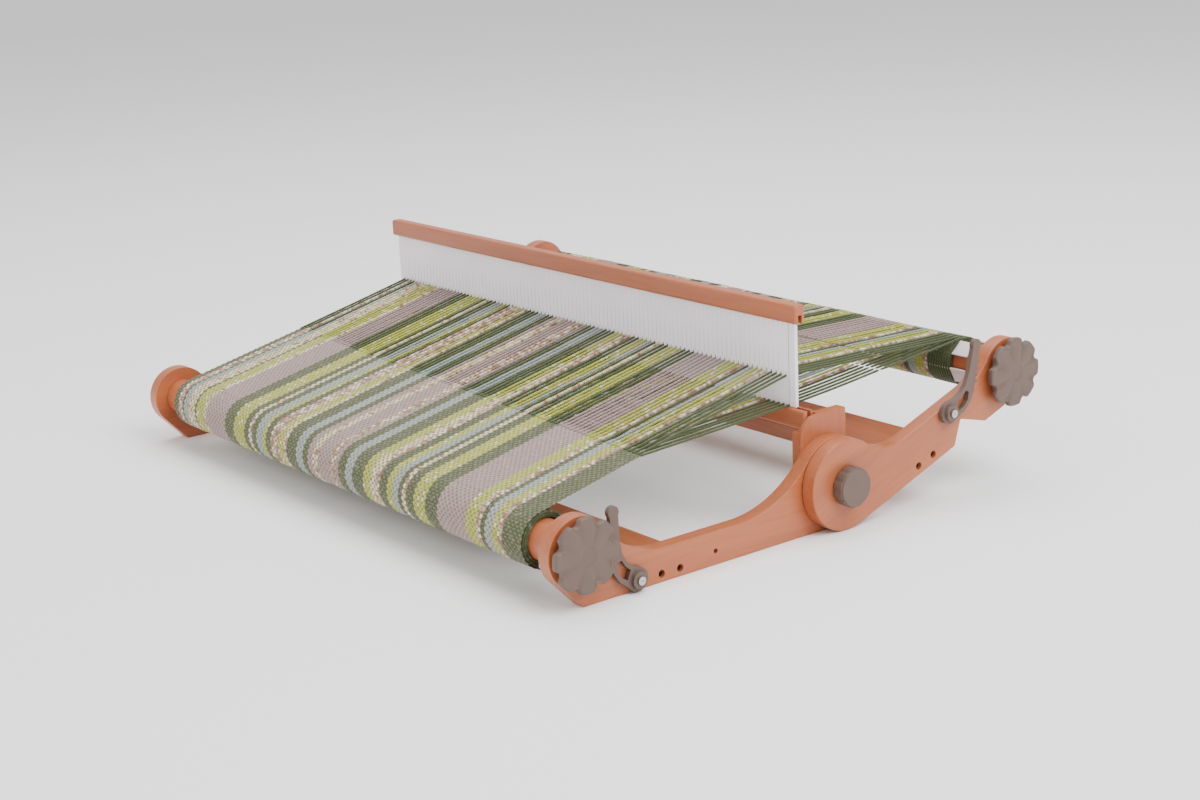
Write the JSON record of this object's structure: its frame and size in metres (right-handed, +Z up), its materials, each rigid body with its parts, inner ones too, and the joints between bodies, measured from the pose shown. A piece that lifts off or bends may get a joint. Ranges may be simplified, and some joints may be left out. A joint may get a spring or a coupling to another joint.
{
  "type": "loom",
  "caption": "Folding rigid-heddle table loom with hinged wooden side frames, ratchet rollers, slotted reed and striped cloth in progress.",
  "frame": {"origin": "on the table, under the middle of the loom's overall box", "axes": "+X across the loom to the ratchet side, +Y from the weaver to the back, +Z up"},
  "size_m": [0.8362, 0.6116, 0.219],
  "materials": {
    "beech": "satin lacquered beech",
    "nylon": "warm grey moulded nylon",
    "steel": "zinc plated steel",
    "dark_steel": "black oxide steel",
    "reed_plastic": "white nylon, slightly glossy",
    "cloth": "striped plain weave",
    "warp_yarn": "striped cotton and wool threads",
    "card": "pale grey card"
  },
  "bodies": {
    "front_frame": {"front_arm_left": "beech", "front_arm_right": "beech", "front_rail": "beech", "front_rail_screws": "dark_steel", "reed_post_left": "beech", "reed_post_right": "beech", "post_screws": "steel", "fold_bolt_left": "steel", "fold_bolt_right": "steel", "fold_washers": "nylon", "front_pawl_screw": "steel", "woven_cloth": "cloth", "warp_front_upper": "warp_yarn", "warp_front_lower": "warp_yarn", "warp_rear_upper": "warp_yarn", "warp_rear_lower": "warp_yarn"},
    "rear_frame": {"rear_arm_left": "beech", "rear_arm_right": "beech", "rear_rail": "beech", "rear_rail_screws": "dark_steel", "rear_pawl_screw": "steel"},
    "cloth_roller": {"front_roller": "beech", "front_cog": "nylon", "front_tie_stick": "beech", "cloth_roll": "cloth"},
    "warp_roller": {"rear_roller": "beech", "rear_cog": "nylon", "warp_sticks": "card", "warp_roll": "warp_yarn"},
    "front_pawl": {"front_pawl": "nylon"},
    "rear_pawl": {"rear_pawl": "nylon"},
    "fold_knob_left": {"fold_knob_left": "nylon", "knob_nut_left": "steel"},
    "fold_knob_right": {"fold_knob_right": "nylon", "knob_nut_right": "steel"},
    "reed": {"reed_top_bar": "beech", "reed_plate": "reed_plastic", "reed_bottom_bar": "beech"}
  },
  "joints": [
    {"name": "fold", "type": "hinge", "parent": "front_frame", "child": "rear_frame", "pos_m": [0, 0.04252, 0.0455], "axis": [1, 0, 0], "range_deg": [0, 75], "deforming": ["warp_rear_upper", "warp_rear_lower"]},
    {"name": "cloth_roller_turn", "type": "hinge", "parent": "front_frame", "child": "cloth_roller", "pos_m": [0, -0.27028, 0.0513], "axis": [1, 0, 0], "continuous": true},
    {"name": "warp_roller_turn", "type": "hinge", "parent": "rear_frame", "child": "warp_roller", "pos_m": [0, 0.27028, 0.11616], "axis": [1, 0, 0], "continuous": true},
    {"name": "front_pawl_swing", "type": "hinge", "parent": "front_frame", "child": "front_pawl", "pos_m": [0.3922, -0.21028, 0.0125], "axis": [1, 0, 0], "range_deg": [-60, 2]},
    {"name": "rear_pawl_swing", "type": "hinge", "parent": "rear_frame", "child": "rear_pawl", "pos_m": [0.4083, 0.18072, 0.0905], "axis": [1, 0, 0], "range_deg": [-20, 60]},
    {"name": "knob_left_turn", "type": "hinge", "parent": "front_frame", "child": "fold_knob_left", "pos_m": [-0.4119, 0.04252, 0.0455], "axis": [1, 0, 0], "continuous": true},
    {"name": "knob_right_turn", "type": "hinge", "parent": "front_frame", "child": "fold_knob_right", "pos_m": [0.4119, 0.04252, 0.0455], "axis": [1, 0, 0], "continuous": true},
    {"name": "reed_lift", "type": "slide", "parent": "front_frame", "child": "reed", "axis": [0, 0, 1], "range_m": [0, 0.03], "deforming": ["warp_front_upper", "warp_front_lower", "warp_rear_upper", "warp_rear_lower"]}
  ]
}
